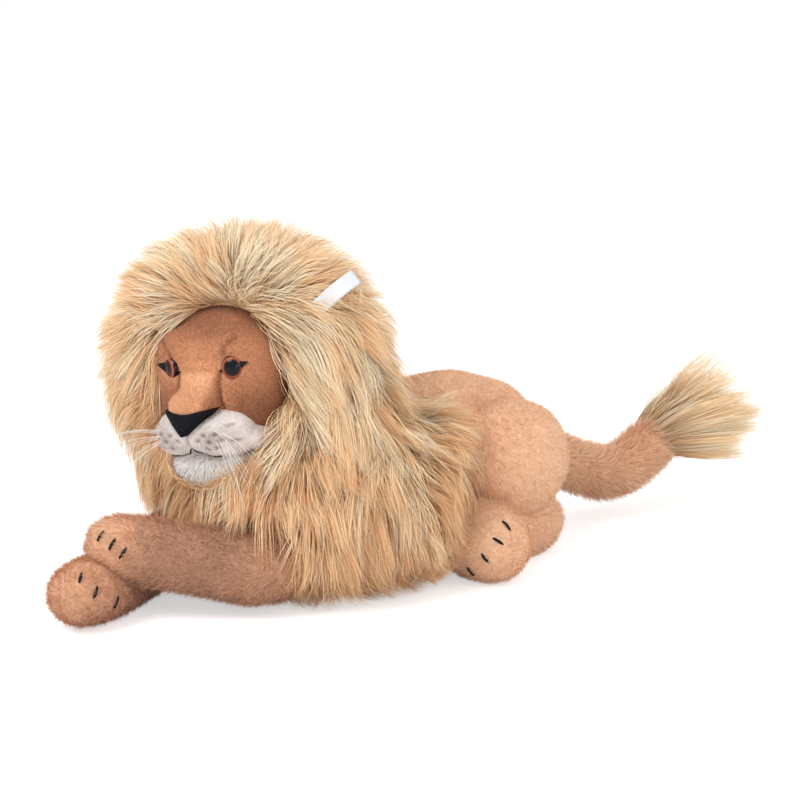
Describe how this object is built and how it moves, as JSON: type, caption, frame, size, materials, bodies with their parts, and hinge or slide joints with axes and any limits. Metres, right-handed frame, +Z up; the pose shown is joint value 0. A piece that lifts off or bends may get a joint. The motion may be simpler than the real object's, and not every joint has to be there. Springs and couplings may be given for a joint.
{
  "type": "plush lion",
  "caption": "Stuffed toy lion lying down with crossed forelegs, a turned head on a disc joint, a long-haired mane in two parts and a tail with a tuft.",
  "frame": {"origin": "on the floor, in the flat face that the belly rests on, in the middle plane of the torso", "axes": "+Z up, -Y is where the chest and the forelegs point, +X is the lion's left side"},
  "size_m": [0.2213, 0.5571, 0.2288],
  "materials": {
    "tan_plush": "short pile plush",
    "head_plush": "short pile plush, airbrushed darker",
    "mane_pile": "long pile, tan roots and pale tips",
    "white_plush": "short white plush",
    "black_thread": "satin-stitched thread",
    "white_ribbon": "woven satin ribbon, bare",
    "fill": "fibre fill",
    "amber_eye": "clear dome over an amber ring and a black pupil",
    "black_plastic": "moulded",
    "hardboard": "bare hardboard",
    "steel": "zinc plated",
    "nylon": "clear white bristle"
  },
  "bodies": {
    "torso": {"torso_skin": "tan_plush", "torso_stuffing": "fill", "chest_mane": "mane_pile", "left_haunch": "tan_plush", "left_hock": "tan_plush", "left_hind_foot": "tan_plush", "left_hind_claw_1": "black_thread", "left_hind_claw_2": "black_thread", "left_hind_claw_3": "black_thread", "left_hind_claw_4": "black_thread", "right_haunch": "tan_plush", "right_hock": "tan_plush", "right_hind_foot": "tan_plush", "right_hind_claw_1": "black_thread", "right_hind_claw_2": "black_thread", "right_hind_claw_3": "black_thread", "right_hind_claw_4": "black_thread", "right_foreleg": "tan_plush", "right_fore_claw_1": "black_thread", "right_fore_claw_2": "black_thread", "right_fore_claw_3": "black_thread", "neck_disc_body": "hardboard", "neck_lock_nut": "steel"},
    "head": {"head_skin": "head_plush", "head_stuffing": "fill", "left_eye": "amber_eye", "left_eye_patch": "black_thread", "left_eye_washer": "black_plastic", "right_eye": "amber_eye", "right_eye_patch": "black_thread", "right_eye_washer": "black_plastic", "left_muzzle_pad": "white_plush", "right_muzzle_pad": "white_plush", "left_whiskers": "nylon", "right_whiskers": "nylon", "chin": "white_plush", "nose": "black_thread", "mouth_seam": "black_thread", "left_ear": "head_plush", "right_ear": "head_plush", "ear_tag": "white_ribbon", "head_mane": "mane_pile", "neck_disc_head": "hardboard", "neck_bolt": "steel"},
    "left_foreleg": {"left_foreleg": "tan_plush", "left_fore_claw_1": "black_thread", "left_fore_claw_2": "black_thread", "left_fore_claw_3": "black_thread"},
    "tail_base": {"tail_base": "tan_plush"},
    "tail_end": {"tail_end": "tan_plush", "tail_tuft": "mane_pile"}
  },
  "joints": [
    {"name": "neck_turn", "type": "hinge", "parent": "torso", "child": "head", "pos_m": [0, -0.075, 0.093], "axis": [0, -0.2487, 0.9686], "range_deg": [-50, 15]},
    {"name": "left_foreleg_lift", "type": "hinge", "parent": "torso", "child": "left_foreleg", "pos_m": [0.06208, -0.10762, 0.02763], "axis": [-0.8965, 0.443, 0], "range_deg": [0, 10]},
    {"name": "tail_swing", "type": "hinge", "parent": "torso", "child": "tail_base", "pos_m": [0, 0.125, 0.05782], "axis": [0, 0, 1], "range_deg": [-25, 25]},
    {"name": "tail_curl", "type": "hinge", "parent": "tail_base", "child": "tail_end", "pos_m": [0, 0.18054, 0.03463], "axis": [1, 0, 0], "range_deg": [-15, 20]}
  ]
}
